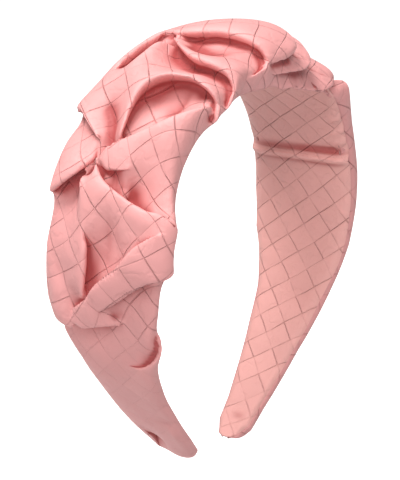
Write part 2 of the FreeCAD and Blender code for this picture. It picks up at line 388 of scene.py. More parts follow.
    # fan of pleats over the front edge
    fold([(9, -8, 13.6, 0.4, 1), (6, -14, 13.4, 1.2, 3), (5, -19.5, 11.8, 1.6, 4.5),
          (4.5, -23, 9.2, 1.6, 4.5), (1, -25.5, 7, 1.4, 4), (-5, -26.5, 5.8, 1, 3),
          (-13, -26, 5.2, 0.4, 1.5)], low, 0.3)
    fold([(25, -5, 13.4, 0.4, 1), (22, -11, 12.4, 1.2, 3), (18.5, -17, 9.8, 1.6, 4),
          (14.5, -23.5, 5, 1.6, 4.5), (8, -26.5, 1.6, 1.2, 3.5), (-1, -27, 0.8, 0.8, 2.5),
          (-12, -26, 1.6, 0.3, 1)], low, 0.3)
    fold([(37, -11, 12, 0.5, 1.5), (37.5, -17.5, 9, 1.2, 3), (35, -22.5, 4.4, 1.4, 3),
          (29, -26, 0, 1.6, 3.5), (20, -27, -4.6, 1.4, 3), (8, -27, -6, 1, 2),
          (-6, -25.5, -5, 0.5, 1)], low, 0.4)
    ridge([(20, 4, 14.6), (30, 2, 15.4), (40, 0, 15.4), (49, 0, 14.2), (57, 1, 12.8)], 0.8)
    ridge([(-16, -25.5, 0.5), (-22, -25, 2), (-28, -24.5, 3.4)], 0.4)
    ridge([(40, -22, 9.4), (43, -24, 7.5)], 0.6)
    # right side and back edge, not as deep
    fold([(64, 8, 11, 0.5, 2), (69, 12, 12, 1.5, 4), (74, 17, 11, 2, 4), (77, 22, 7, 1, 2)], up)
    fold([(66, 4, 11, 0.5, 2), (71, -2, 12, 1.5, 4), (74, -9, 12, 1.5, 3), (75, -15, 11, 0.5, 1)], down)
    fold([(28, 16, 10.6, 0.5, 1), (24, 9, 13, 1.5, 3), (25, 0, 14, 1.5, 4), (29, -8, 13, 0.5, 1.5)], up)
    fold([(48, 17, 10, 0.5, 2), (44, 9, 12.6, 1.5, 4), (45, -2, 12.8, 1.5, 3), (50, -10, 11.4, 0.5, 1)], up)
    ridge([(90, 12, 8.8), (96, 2, 9.6), (104, -8, 8.6)], 0.4)
    fold([(108, 14, 7.6, 0.5, 1), (110, 6, 8.8, 1.5, 3), (110, -4, 8.4, 0.5, 1)], up)


def cover_shape():
    """The gathered cover in flat space, on a fine grid."""
    d = None
    for coarse, turns in ((4, 300), (2, 300), (1, 300)):
        cloth = Cloth(coarse)
        gather(cloth)
        if d is None:
            d = np.zeros((cloth.rows, cloth.cols, 3))
        else:
            d = resample(d, cloth.rows, cloth.cols)
        d = cloth.settle(d, turns)
    rows, cols = 561, 117
    s = np.linspace(-END_S, END_S, rows)
    base = np.concatenate([np.repeat(s[:, None, None], cols, 1), section(s, cols)], 2)
    shape = base + resample(d, rows, cols)
    # the tips close down on the lining
    shut = np.interp(np.abs(s), (TIP_FROM, END_S), (0.0, 1.0))[:, None] ** 2
    shape[..., 2] += (COVER_TIP_LIFT - shape[..., 2]) * shut
    return shape


def rest_plan(rows, cols, width):
    """Flat rectangle of cloth, in metres, for a start."""
    s, y = np.linspace(-END_S, END_S, rows), np.linspace(-width / 2, width / 2, cols)
    return np.stack(np.meshgrid(s, y, indexing="ij"), 2) * MM


# ---- materials and the shader groups they share ----

def group_socket(tree, name, way, kind, value=None, low=None, high=None):
    s = tree.interface.new_socket(name=name, in_out=way, socket_type=kind)
    if value is not None:
        s.default_value = value
    if low is not None:
        s.min_value, s.max_value = low, high
    return s


class Graph:
    """Small helper that adds maths nodes to a node tree."""

    def __init__(self, tree):
        self.tree = tree

    def node(self, kind, **facts):
        n = self.tree.nodes.new(kind)
        for k, v in facts.items():
            setattr(n, k, v)
        return n

    def link(self, a, b):
        self.tree.links.new(a, b)

    def math(self, op, a, b=None, c=None):
        n = self.node("ShaderNodeMath", operation=op)
        for i, v in enumerate((a, b, c)):
            if v is None:
                continue
            if isinstance(v, (int, float)):
                n.inputs[i].default_value = v
            else:
                self.link(v, n.inputs[i])
        return n.outputs[0]

    def ramp(self, value, low, high, a, b):
        n = self.node("ShaderNodeMapRange", interpolation_type="SMOOTHSTEP")
        self.link(value, n.inputs["Value"])
        for k, v in (("From Min", low), ("From Max", high), ("To Min", a), ("To Max", b)):
            if isinstance(v, (int, float)):
                n.inputs[k].default_value = v
            else:
                self.link(v, n.inputs[k])
        return n.outputs["Result"]

    def vector(self, op, *values):
        n = self.node("ShaderNodeVectorMath", operation=op)
        for i, v in enumerate(values):
            if isinstance(v, (int, float)):
                n.inputs[i].default_value = (v, v, v)
            else:
                self.link(v, n.inputs[i])
        return n.outputs[0]

    def bump(self, height, strength, distance, under=None):
        n = self.node("ShaderNodeBump")
        n.inputs["Strength"].default_value = strength
        n.inputs["Distance"].default_value = distance
        self.link(height, n.inputs["Height"])
        if under is not None:
            self.link(under, n.inputs["Normal"])
        return n.outputs["Normal"]

    def attribute(self, name):
        return self.node("ShaderNodeAttribute", attribute_name=name, attribute_type="GEOMETRY").outputs["Fac"]

    def noise(self, vector, scale, detail=2.0):
        n = self.node("ShaderNodeTexNoise")
        self.link(vector, n.inputs["Vector"])
        n.inputs["Scale"].default_value = scale
        n.inputs["Detail"].default_value = detail
        return n.outputs["Fac"]


def weave_group():
    """Embossed basket weave: a height, and a mask of its grooves, from flat cloth coordinates."""
    t = bpy.data.node_groups.new("basket_weave", "ShaderNodeTree")
    group_socket(t, "Cloth", "INPUT", "NodeSocketVector")
    group_socket(t, "Tile", "INPUT", "NodeSocketFloat", 0.0078, 0.001, 0.05)
    group_socket(t, "Angle", "INPUT", "NodeSocketFloat", 0.6, -3.2, 3.2)
    group_socket(t, "Line Width", "INPUT", "NodeSocketFloat", 0.036, 0.01, 0.4)
    group_socket(t, "Height", "OUTPUT", "NodeSocketFloat")
    group_socket(t, "Groove", "OUTPUT", "NodeSocketFloat")
    group_socket(t, "Tint", "OUTPUT", "NodeSocketFloat")
    g = Graph(t)
    gin, gout = g.node("NodeGroupInput"), g.node("NodeGroupOutput")
    turn = g.node("ShaderNodeVectorRotate", rotation_type="Z_AXIS")
    g.link(gin.outputs["Cloth"], turn.inputs["Vector"])
    g.link(gin.outputs["Angle"], turn.inputs["Angle"])
    even = g.vector("DIVIDE", turn.outputs[0], gin.outputs["Tile"])
    drift = g.node("ShaderNodeTexNoise")
    g.link(even, drift.inputs["Vector"])
    drift.inputs["Scale"].default_value = 0.45
    drift.inputs["Detail"].default_value = 1.0
    eased = g.vector("MULTIPLY_ADD", g.vector("SUBTRACT", drift.outputs["Color"], 0.5), 0.22, even)
    xyz = g.node("ShaderNodeSeparateXYZ")
    g.link(eased, xyz.inputs[0])
    x, y = xyz.outputs["X"], xyz.outputs["Y"]
    row = g.math("FLOOR", y)
    fy = g.math("SUBTRACT", y, row)
    odd = g.math("FLOORED_MODULO", row, 2.0)
    q = g.math("ADD", g.math("MULTIPLY", x, 0.5), g.math("MULTIPLY", odd, 0.5))
    fq = g.math("FRACT", g.math("ADD", q, 200.0))
    long_gap = g.math("MULTIPLY", g.math("MINIMUM", fq, g.math("SUBTRACT", 1.0, fq)), 2.0)
    mid_gap = g.math("MULTIPLY", g.math("ABSOLUTE", g.math("SUBTRACT", fq, 0.5)), 2.0)
    row_gap = g.math("MINIMUM", fy, g.math("SUBTRACT", 1.0, fy))
    wear = g.ramp(g.noise(eased, 0.55, 2.0), 0.38, 0.6, 0.35, 1.0)
    wide = gin.outputs["Line Width"]
    g_row = g.math("MULTIPLY", g.ramp(row_gap, 0.0, wide, 1.0, 0.0), wear)
    g_long = g.ramp(long_gap, 0.0, wide, 1.0, 0.0)
    g_mid = g.math("MULTIPLY", g.ramp(mid_gap, 0.0, wide, 0.6, 0.0), wear)
    groove = g.math("MAXIMUM", g.math("MAXIMUM", g_row, g_long), g_mid)
    pad = g.math("MULTIPLY", g.ramp(row_gap, 0.0, 0.42, 0.0, 1.0),
                 g.ramp(g.math("MINIMUM", long_gap, g.math("ADD", mid_gap, 0.12)), 0.0, 0.42, 0.0, 1.0))
    slope = g.math("MULTIPLY", fy, 0.55)
    height = g.math("ADD", g.math("ADD", g.math("MULTIPLY", pad, 0.45), slope),
                    g.math("MULTIPLY", groove, -0.7))
    cell = g.node("ShaderNodeCombineXYZ")
    g.link(g.math("FLOOR", g.math("MULTIPLY", q, 2.0)), cell.inputs[0])
    g.link(row, cell.inputs[1])
    dice = g.node("ShaderNodeTexWhiteNoise", noise_dimensions="3D")
    g.link(cell.outputs[0], dice.inputs["Vector"])
    g.link(height, gout.inputs["Height"])
    g.link(groove, gout.inputs["Groove"])
    g.link(dice.outputs["Value"], gout.inputs["Tint"])
    return t


def crumple_group():
    """Fine creases and grain of soft coated cloth, as a height."""
    t = bpy.data.node_groups.new("soft_crumple", "ShaderNodeTree")
    group_socket(t, "Place", "INPUT", "NodeSocketVector")
    group_socket(t, "Size", "INPUT", "NodeSocketFloat", 0.01, 0.0001, 1.0)
    group_socket(t, "Height", "OUTPUT", "NodeSocketFloat")
    g = Graph(t)
    gin, gout = g.node("NodeGroupInput"), g.node("NodeGroupOutput")
    small = g.vector("DIVIDE", gin.outputs["Place"], gin.outputs["Size"])
    soft = g.noise(small, 1.0, 3.0)
    lines = g.noise(small, 0.8, 4.0)
    crease = g.ramp(g.math("ABSOLUTE", g.math("SUBTRACT", lines, 0.5)), 0.0, 0.05, -0.25, 0.0)
    g.link(g.math("ADD", soft, crease), gout.inputs["Height"])
    return t


def shared(name, make):
    return bpy.data.node_groups.get(name) or make()


def principled(name):
    m = bpy.data.materials.new(name)
    m.use_nodes = True
    shader = m.node_tree.nodes["Principled BSDF"]
    return m, shader, Graph(m.node_tree)


def satin(name, colour, tile, angle, relief, crumple):
    """Soft satin cloth with the embossed weave."""
    m, shader, g = principled(name)
    shader.inputs["Roughness"].default_value = 0.58
    shader.inputs["Specular IOR Level"].default_value = 0.42
    shader.inputs["Sheen Weight"].default_value = 0.04
    shader.inputs["Sheen Roughness"].default_value = 0.4
    shader.inputs["Sheen Tint"].default_value = (1.0, 0.86, 0.84, 1.0)
    cloth = g.node("ShaderNodeUVMap", uv_map="cloth")
    weave = g.node("ShaderNodeGroup", node_tree=shared("basket_weave", weave_group))
    g.link(cloth.outputs["UV"], weave.inputs["Cloth"])
    weave.inputs["Tile"].default_value = tile
    weave.inputs["Angle"].default_value = angle
    folds = g.node("ShaderNodeGroup", node_tree=shared("soft_crumple", crumple_group))
    g.link(cloth.outputs["UV"], folds.inputs["Place"])
    folds.inputs["Size"].default_value = 0.008
    creased = g.bump(folds.outputs["Height"], 0.9, crumple)
    pressed = g.attribute("emboss")
    embossed = g.bump(g.math("MULTIPLY", weave.outputs["Height"], pressed), 1.0, relief, creased)
    line = g.math("MULTIPLY", weave.outputs["Groove"], pressed)
    g.link(embossed, shader.inputs["Normal"])
    base = g.node("ShaderNodeMix", data_type="RGBA", blend_type="MULTIPLY")
    base.inputs["Factor"].default_value = 1.0
    base.inputs[6].default_value = (*colour, 1.0)
    shade = g.node("ShaderNodeCombineColor")
    # painted light from the fold depth: crests get a painted highlight, a little lighter, and creases get
    # painted shade, darker and redder
    hollow = g.attribute("fold_depth")
    # painted shade mask, strongest deep in the folds
    shut = g.ramp(hollow, 0.0, 0.85, 0.0, 1.0)
    # painted highlight on the crests
    crest = g.ramp(hollow, -0.9, -0.1, 0.11, 0.0)
    even = g.math("ADD", g.math("ADD", g.math("MULTIPLY", weave.outputs["Tint"], 0.05), 0.97), crest)
    # painted shade: the weave's grooves are painted darker, standing for shade in the pressed recesses
    level = g.math("ADD", g.math("MULTIPLY", line, -0.06), even)
    level = g.math("MULTIPLY", level, g.math("SUBTRACT", 1.0, g.math("MULTIPLY", shut, 0.45)))
    deeper = g.math("ADD", g.math("MULTIPLY", line, -0.15), even)
    deeper = g.math("MULTIPLY", deeper, g.math("SUBTRACT", 1.0, g.math("MULTIPLY", shut, 0.76)))
    g.link(level, shade.inputs["Red"])
    g.link(deeper, shade.inputs["Green"])
    g.link(deeper, shade.inputs["Blue"])
    g.link(shade.outputs["Color"], base.inputs[7])
    g.link(base.outputs[2], shader.inputs["Base Color"])
    return m


def plain(name, colour, roughness, grain=0.0):
    """One even colour, with a fine grain where it has one."""
    m, shader, g = principled(name)
    shader.inputs["Base Color"].default_value = (*colour, 1.0)
    shader.inputs["Roughness"].default_value = roughness
    if grain:
        where = g.node("ShaderNodeTexCoord")
        grained = g.bump(g.noise(where.outputs["Object"], 900.0, 3.0), 0.6, grain)
        g.link(grained, shader.inputs["Normal"])
    return m


# ---- meshes ----

def flatten(points, start, turns=40):
    """Flat coordinates of a curved grid with the least stretch, in metres."""
    along = ((points[1:, :-1] - points[:-1, :-1]) + (points[1:, 1:] - points[:-1, 1:])) / 2
    across = ((points[:-1, 1:] - points[:-1, :-1]) + (points[1:, 1:] - points[1:, :-1])) / 2
    size = np.maximum(np.linalg.norm(along, axis=2), 1e-9)
    a = size.astype(complex)
    b = ((along * across).sum(2) + 1j * np.linalg.norm(np.cross(along, across), axis=2)) / size
    u = start[..., 0] + 1j * start[..., 1]
    rows, cols = u.shape
    wave = (4 - 2 * np.cos(np.pi * np.arange(2 * rows) / rows)[:, None]
            - 2 * np.cos(np.pi * np.arange(2 * cols) / cols)[None])
    wave[0, 0] = 1.0
    for _ in range(turns):
        ua = ((u[1:, :-1] - u[:-1, :-1]) + (u[1:, 1:] - u[:-1, 1:])) / 2
        ub = ((u[:-1, 1:] - u[:-1, :-1]) + (u[1:, 1:] - u[1:, :-1])) / 2
        z = ua * a.conj() + ub * b.conj()
        z /= np.maximum(np.abs(z), 1e-15)
        ta = np.pad(z * a, ((0, 0), (1, 1)), mode="edge")
        tb = np.pad(z * b, ((1, 1), (0, 0)), mode="edge")
        ta = (ta[:, 1:] + ta[:, :-1]) / 2
        tb = (tb[1:] + tb[:-1]) / 2
        flow = np.zeros_like(u)
        flow[:-1] -= ta
        flow[1:] += ta
        flow[:, :-1] -= tb
        flow[:, 1:] += tb
        wide = np.concatenate([flow, flow[::-1]], 0)
        wide = np.concatenate([wide, wide[:, ::-1]], 1)
        u = np.fft.ifft2(np.fft.fft2(wide) / wave)[:rows, :cols]
    return np.stack([u.real, u.imag], 2)


def smooth_faces(mesh):
    mesh.polygons.foreach_set("use_smooth", np.ones(len(mesh.polygons), dtype=bool))


def new_object(name, data):
    obj = bpy.data.objects.new(name, data)
    bpy.context.scene.collection.objects.link(obj)
    return obj


def fold_depth(points, normals):
    """How far each spot lies below the cloth round it: 1 deep in a fold, below 0 on a crest. The cloth
    materials paint shade into folds and highlight onto crests from it.
    """
    def blur(g, reach):
        for axis in (0, 1):
            pad = [(0, 0)] * 3
            pad[axis] = (reach + 1, reach)
            total = np.cumsum(np.pad(g, pad, mode="edge"), axis)
            n = 2 * reach + 1
            g = (total[n:] - total[:-n]) / n if axis == 0 else (total[:, n:] - total[:, :-n]) / n
        return g
    near = ((blur(points, 2) - points) * normals).sum(2) / (0.26 * MM)
    far = ((blur(blur(points, 5), 4) - points) * normals).sum(2) / (1.6 * MM)
    return np.clip(0.5 * near + 0.6 * far, -1, 1)


def grid_normals(points):
    n = np.cross(np.gradient(points, axis=0), np.gradient(points, axis=1))
    return n / np.maximum(np.linalg.norm(n, axis=2, keepdims=True), 1e-12)


def cloth_mesh(name, outer, inner, normals, flat, depth, emboss, material):
    """Closed mesh between an outer and an inner grid, smooth across its faces."""
    rows, cols = outer.shape[:2]
    count = rows * cols
    points = np.concatenate([outer.reshape(-1, 3), inner.reshape(-1, 3)])
    k = np.arange(count).reshape(rows, cols)
    quads = np.stack([k[:-1, :-1], k[1:, :-1], k[1:, 1:], k[:-1, 1:]], -1).reshape(-1, 4)
    ring = np.concatenate([k[:, 0], k[-1, 1:], k[-2::-1, -1], k[0, -2:0:-1]])
    after = np.roll(ring, -1)
    rim = np.stack([after, ring, ring + count, after + count], -1)
    faces = np.concatenate([quads, quads[:, ::-1] + count, rim])
    mesh = bpy.data.meshes.new(name)
    mesh.from_pydata([tuple(p) for p in points.tolist()], [], faces.tolist())
    mesh.update()
    uv = mesh.uv_layers.new(name="cloth")
    at = np.empty(len(mesh.loops), dtype=np.int32)
    mesh.loops.foreach_get("vertex_index", at)
    both = np.concatenate([flat.reshape(-1, 2)] * 2)
    uv.data.foreach_set("uv", both[at].astype(np.float32).ravel())
    hollow = mesh.attributes.new("fold_depth", "FLOAT", "POINT")
    hollow.data.foreach_set("value", np.concatenate([depth.ravel()] * 2).astype(np.float32))
    pressed = mesh.attributes.new("emboss", "FLOAT", "POINT")
    pressed.data.foreach_set("value", np.concatenate([emboss.ravel()] * 2).astype(np.float32))
    smooth_faces(mesh)
    n = normals.reshape(-1, 3)
    mesh.normals_split_custom_set_from_vertices(np.concatenate([n, -n]).tolist())
    mesh.materials.append(material)
    return new_object(name, mesh)


def emboss_along(points, *rows):
    """How crisply the weave shows, from rows of (distance from the top, strength)."""
    s = np.linspace(-END_S, END_S, points.shape[0])
    return np.repeat(np.interp(s, *zip(*rows))[:, None], points.shape[1], 1)


def cloth_halves(names, points, start, emboss, thickness, cut, material, flip=False):
    """Two pieces of one cloth that meet at a row of its grid."""
    normals = grid_normals(points)
    if flip:
        normals = -normals
    inner = points - normals * thickness
    flat = flatten(points, start)
    depth = fold_depth(points, normals)
    pieces = []
    for name, part in zip(names, (slice(0, cut + 1), slice(cut, None))):
        grids = [g[part] for g in (points, inner, normals, flat, depth, emboss)]
        if flip:
            grids = [g[:, ::-1] for g in grids]
        pieces.append(cloth_mesh(name, *grids, material))
    return pieces


def strip(name, s, inset, low, high, material, corner=1.0):
    """Closed strip with rounded long edges, between two lifts; high may vary along it."""
    half = np.maximum(table(WIDTHS, s) - inset, 1.2)[:, None]
    high = np.broadcast_to(np.asarray(high, float), s.shape)[:, None]
    round_count = 32
    turn = np.linspace(0, 2 * math.pi, round_count + 1)[:-1][None]
    power = 2 / (2 + 3 * corner)
    y = half * np.sign(np.cos(turn)) * np.abs(np.cos(turn)) ** power
    lift = low + (high - low) * (0.5 + 0.5 * np.sign(np.sin(turn)) * np.abs(np.sin(turn)) ** power)
    flat = np.stack([np.repeat(s[:, None], round_count, 1), y + table(SHIFTS, s)[:, None], lift], 2)
    points = bend(flat)
    rows = len(s)
    k = np.arange(rows * round_count).reshape(rows, round_count)
    nxt = np.roll(k, -1, 1)
    faces = np.stack([k[:-1], nxt[:-1], nxt[1:], k[1:]], -1).reshape(-1, 4).tolist()
    faces += [k[0, ::-1].tolist(), k[-1].tolist()]
    mesh = bpy.data.meshes.new(name)
    mesh.from_pydata([tuple(p) for p in points.reshape(-1, 3).tolist()], [], faces)
    mesh.update()
    smooth_faces(mesh)
    mesh.materials.append(material)
    obj = new_object(name, mesh)
    face_out(obj)
    return obj


def face_out(obj):
    """Turns a closed mesh's faces outward."""
    b = bmesh.new()
    b.from_mesh(obj.data)
    bmesh.ops.recalc_face_normals(b, faces=b.faces)
    b.to_mesh(obj.data)
    b.free()


def springs(obj):
    """Bakes the piece's placement into its mesh."""
    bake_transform(obj)


# ---- stitches ----

def stitch_nodes():
    """Short rounded stitches in a row along an edge, in a fixed random order of sizes."""
    t = bpy.data.node_groups.new("stitch_row", "GeometryNodeTree")
    t.is_modifier = True
    group_socket(t, "Geometry", "INPUT", "NodeSocketGeometry")
    group_socket(t, "Pitch", "INPUT", "NodeSocketFloat", 0.003, 0.0002, 0.02)
    group_socket(t, "Length", "INPUT", "NodeSocketFloat", 0.0022, 0.0002, 0.02)
    group_socket(t, "Thickness", "INPUT", "NodeSocketFloat", 0.0005, 0.0001, 0.005)
    group_socket(t, "Seed", "INPUT", "NodeSocketInt", 4)
    group_socket(t, "Material", "INPUT", "NodeSocketMaterial")
    group_socket(t, "Geometry", "OUTPUT", "NodeSocketGeometry")
    g = Graph(t)
    gin, gout = g.node("NodeGroupInput"), g.node("NodeGroupOutput")
    line = g.node("GeometryNodeMeshToCurve")
    g.link(gin.outputs["Geometry"], line.inputs["Mesh"])
    spots = g.node("GeometryNodeCurveToPoints", mode="LENGTH")
    g.link(line.outputs["Curve"], spots.inputs["Curve"])
    g.link(gin.outputs["Pitch"], spots.inputs["Length"])
    aim = g.node("FunctionNodeAlignRotationToVector", axis="X")
    g.link(spots.outputs["Tangent"], aim.inputs["Vector"])
    bead = g.node("GeometryNodeMeshUVSphere")
    bead.inputs["Segments"].default_value = 10
    bead.inputs["Rings"].default_value = 8
    bead.inputs["Radius"].default_value = 0.5
    size = g.node("ShaderNodeCombineXYZ")
    g.link(gin.outputs["Length"], size.inputs[0])
    g.link(gin.outputs["Thickness"], size.inputs[1])
    g.link(gin.outputs["Thickness"], size.inputs[2])
    shaped = g.node("GeometryNodeTransform")
    g.link(bead.outputs["Mesh"], shaped.inputs["Geometry"])
    g.link(size.outputs[0], shaped.inputs["Scale"])
    vary = g.node("FunctionNodeRandomValue", data_type="FLOAT")
    vary.inputs[2].default_value = 0.85
    vary.inputs[3].default_value = 1.1
    g.link(gin.outputs["Seed"], vary.inputs["Seed"])
    put = g.node("GeometryNodeInstanceOnPoints")
    g.link(spots.outputs["Points"], put.inputs["Points"])
    g.link(shaped.outputs["Geometry"], put.inputs["Instance"])
    g.link(aim.outputs["Rotation"], put.inputs["Rotation"])
    g.link(vary.outputs[1], put.inputs["Scale"])
    real = g.node("GeometryNodeRealizeInstances")
    g.link(put.outputs["Instances"], real.inputs["Geometry"])
    paint = g.node("GeometryNodeSetMaterial")
    g.link(real.outputs["Geometry"], paint.inputs["Geometry"])
    g.link(gin.outputs["Material"], paint.inputs["Material"])
    g.link(paint.outputs["Geometry"], gout.inputs["Geometry"])
    return t


def stitched(name, lines, pitch, length, thickness, seed, material):
    """Stitches along lines of points in flat space, as one plain mesh."""
    points, edges = [], []
    for line in lines:
        start = len(points)
        points += [tuple(p) for p in bend(np.array(line, float)).tolist()]
        edges += [(k, k + 1) for k in range(start, len(points) - 1)]
    path = bpy.data.meshes.new(name + "_path")
    path.from_pydata(points, edges, [])
    obj = new_object(name, path)
    tree = bpy.data.node_groups.get("stitch_row") or stitch_nodes()
    mod = obj.modifiers.new("stitches", "NODES")
    mod.node_group = tree
    wanted = {"Pitch": pitch, "Length": length, "Thickness": thickness, "Seed": seed,
              "Material": material}
    for item in tree.interface.items_tree:
        if item.item_type == "SOCKET" and item.in_out == "INPUT" and item.name in wanted:
            mod[item.identifier] = wanted[item.name]
    bpy.context.view_layer.update()
    graph = bpy.context.evaluated_depsgraph_get()
    mesh = bpy.data.meshes.new_from_object(obj.evaluated_get(graph), depsgraph=graph)
    if not len(mesh.polygons):
        raise RuntimeError(name + " has no stitches")
    obj.modifiers.clear()
    obj.data = mesh
    mesh.name = name
    smooth_faces(mesh)
    if not mesh.materials:
        mesh.materials.append(material)
    return obj


# ---- settings ----

class HairbandSettings(bpy.types.PropertyGroup):
    cover_colour: FloatVectorProperty(
        name="Cover colour", description="Base colour of the outer cloth", subtype="COLOR", size=3,
        default=(0.80, 0.352, 0.342), min=0, max=1)
    # painted light: the lining is the same cloth as the cover, painted lighter to brighten the arms' inner
    # faces
    lining_colour_painted_lighter: FloatVectorProperty(
        name="Lining colour", description="Base colour of the inner cloth", subtype="COLOR", size=3,
        default=(0.93, 0.47, 0.43), min=0, max=1)
    tile: FloatProperty(
        name="Weave tile", description="Side of one square of the embossed weave",
        default=0.0078, unit="LENGTH", precision=4)
    relief: FloatProperty(
        name="Weave relief", description="Depth of the embossed weave", default=0.0005,
        unit="LENGTH", precision=5)
    cover_angle: FloatProperty(
        name="Cover weave angle", description="Turn of the weave on the cover",
        default=math.radians(38), unit="ROTATION")
    lining_angle: FloatProperty(
        name="Lining weave angle", description="Turn of the weave on the lining",
        default=math.radians(-50), unit="ROTATION")
    thickness: FloatProperty(
        name="Cloth thickness", description="Thickness of the cloth", default=0.0005,
        unit="LENGTH", precision=5)
    pitch: FloatProperty(
        name="Stitch pitch", description="Distance from one seam stitch to the next",
        default=0.003, unit="LENGTH", precision=4)
    key_light: FloatProperty(
        name="Key light", description="Power of the large overhead light in watts", default=8.6)
    fill_light: FloatProperty(
        name="Fill light", description="Strength of the light from all round", default=0.40)
    seed: IntProperty(name="Seed", description="Seed of the stitches' small differences", default=4)


def settings():
    return bpy.context.scene.hairband


def thread_material():
    return bpy.data.materials.get("thread") or plain("thread", (0.55, 0.25, 0.23), 0.7)


# ---- operators ----

class HAIRBAND_OT_core(bpy.types.Operator):
    """Springy hoop and the foam pad on it"""
    bl_idname = "hairband.core"
    bl_label = "Hoop and foam"

    def execute(self, context):
        plastic = plain("hoop_plastic", (0.62, 0.56, 0.53), 0.5)
        foam = plain("foam", (0.86, 0.83, 0.78), 0.9, 0.0002)
        for side, sign in (("left", -1), ("right", 1)):
            s = sign * np.linspace(0.0, 172.0, 121)
            hoop = strip(side + "_hoop_strip", s, 6.0, 1.9, 3.1, plastic)
            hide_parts("crown_hoop", side + "_hoop")
            springs(hoop)
            high = np.interp(np.abs(s), (0, 60, 110, 172), (4.9, 4.7, 4.4, 4.2))
            pad = strip(side + "_foam", s, 7.0, 3.3, high, foam, 0.4)
            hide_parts("crown_foam_pad", side + "_foam_pad")
            springs(pad)
        return {"FINISHED"}


class HAIRBAND_OT_cover(bpy.types.Operator):
    """Outer cloth, gathered and folded over the crown and the arms"""
    bl_idname = "hairband.cover"
    bl_label = "Gathered cover"

    def execute(self, context):
        s = settings()
        cloth = satin("cover_fabric", s.cover_colour, s.tile, s.cover_angle, s.relief, 0.00035)
        points = bend(cover_shape())
        middle = grid_normals(points)[len(points) // 2, points.shape[1] // 2]
        cut = int(len(points) * (END_S - COVER_CUT) / (2 * END_S))
        emboss = emboss_along(points, (-150, 0.2), (-116, 0.35), (-104, 1.0), (179, 0.8))
        halves = cloth_halves(("left_gathered_cover", "right_gathered_cover"), points,
                              rest_plan(*points.shape[:2], 64), emboss, s.thickness, cut, cloth,
                              flip=middle[2] < 0)
        sizes = ((0.180, 0.0125), (0.220, 0.0135))
        for piece, side, (length, area) in zip(halves, ("left", "right"), sizes):
            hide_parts("crown_cover", side + "_cover")
            springs(piece)
        return {"FINISHED"}


def lining_shape():
    """Inner cloth in flat space, with the tuck that was sewn across the right arm."""
    rows, cols = 421, 61
    s = np.linspace(-END_S, END_S, rows)[:, None]
    v = np.linspace(-1, 1, cols)[None]
    bare = np.interp(s, (15, 40), (1.0, 0.0))
    half = np.maximum(table(WIDTHS, s[:, 0])[:, None] - 0.6 - 2.2 * bare, 1.2)
    half = np.maximum(half + np.interp(s, *zip(*TIP_CHANGE)), 1.0)
    y = v * half + table(SHIFTS, s[:, 0])[:, None] - np.interp(-s, *zip(*LEFT_LEAN))
    lift = (1.9 - 1.4 * bare) * np.abs(v) ** 10
    # a soft welt across the right arm, deeper toward the front edge, and a hollow above it
    line = 73.0 + 0.045 * (y - 18)
    toward = np.clip((10 - y) / 34, 0, 1) * np.clip((1 - np.abs(v)) / 0.3, 0, 1)
    lift = lift - (1.3 + 0.5 * toward) * np.exp(-((s - line) / 1.4) ** 2)
    lift = lift + (0.5 + 1.1 * toward ** 1.5) * np.exp(-((s - line + 3.6) / 2.4) ** 2)
    for at, turn, deep in ((52, 0.35, 0.5), (58, 0.3, 0.6), (63, 0.25, 0.45), (93, -0.3, 0.35),
                           (104, 0.4, 0.4)):
        away = s - at - turn * (y + 22)
        lift = lift - deep * np.exp(-(away / 1.1) ** 2) * np.exp(-((y + 22) / 7) ** 2)
    lift = lift + 0.5 * np.exp(-(((s - 125) / 7) ** 2 + ((y + 9) / 8) ** 2))
    lift = lift + 0.6 * np.exp(-(((s - 171) / 2.5) ** 2 + ((y + 4) / 3) ** 2))
    lift = lift * (1 - np.interp(np.abs(s), (TIP_FROM, END_S), (0.0, 1.0)))
    return np.stack([np.broadcast_to(s, y.shape), y, lift], 2)


class HAIRBAND_OT_lining(bpy.types.Operator):
    """Inner cloth, from edge to edge against the head"""
    bl_idname = "hairband.lining"
    bl_label = "Lining"

    def execute(self, context):
        s = settings()
        # the lining's lighter colour is painted light on the arms' inner faces
        cloth = satin("lining_fabric", s.lining_colour_painted_lighter, s.tile, s.lining_angle, s.relief, 0.0004)
        points = bend(lining_shape())
        middle = grid_normals(points)[len(points) // 2, points.shape[1] // 2]
        emboss = emboss_along(points, (-179, 1.0), (150, 1.0), (172, 0.5))
        halves = cloth_halves(("left_inner_panel", "right_inner_panel"), points,
                              rest_plan(*points.shape[:2], 36), emboss, s.thickness,
                              len(points) // 2, cloth, flip=middle[2] > 0)
        for piece, side in zip(halves, ("left", "right")):
            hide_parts("crown_lining", side + "_lining")
            springs(piece)
        return {"FINISHED"}


class HAIRBAND_OT_seams(bpy.types.Operator):
    """Stitches that join cover and lining along both edges"""
    bl_idname = "hairband.seams"
    bl_label = "Edge seams"

    def execute(self, context):
        s = settings()
        inset, lift = 3.6, 0.75
        for side, sign in (("left", -1), ("right", 1)):
            for edge, way in (("front", -1), ("back", 1)):
                run = sign * np.linspace(0.0, 174.0, 233)
                y = way * np.maximum(table(WIDTHS, run) - inset, 0.8) + table(SHIFTS, run)
                line = np.stack([run, y, np.full_like(run, lift)], 1)
                row = stitched(f"{side}_{edge}_stitches", [line], s.pitch, s.pitch * 0.72, 0.0005,
                               s.seed, thread_material())
                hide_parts(f"crown_{edge}_seam", f"{side}_{edge}_seam")
                springs(row)
        return {"FINISHED"}


# node, body, distance from the top, y, lift, length and lean in degrees
TACKS = [
    ("crown_front_pleat_tack", "crown", -22, -18, 6.5, 4, 20),
    ("crown_back_pleat_tack", "crown", 12, 12, 7.0, 4, -25),
    ("crown_scoop_tack", "crown", -36, -12, 6.5, 4, 35),
    ("left_gather_tack", "left_arm", -70, 6, 5.0, 4, 0),
    ("left_lip_tack", "left_arm", -99, 3, 5.0, 3.5, 15),
    ("right_gather_tack", "right_arm", 70, 6, 5.0, 4, 0),
    ("right_lip_tack", "right_arm", 98, 4, 5.0, 3.5, -15),
]


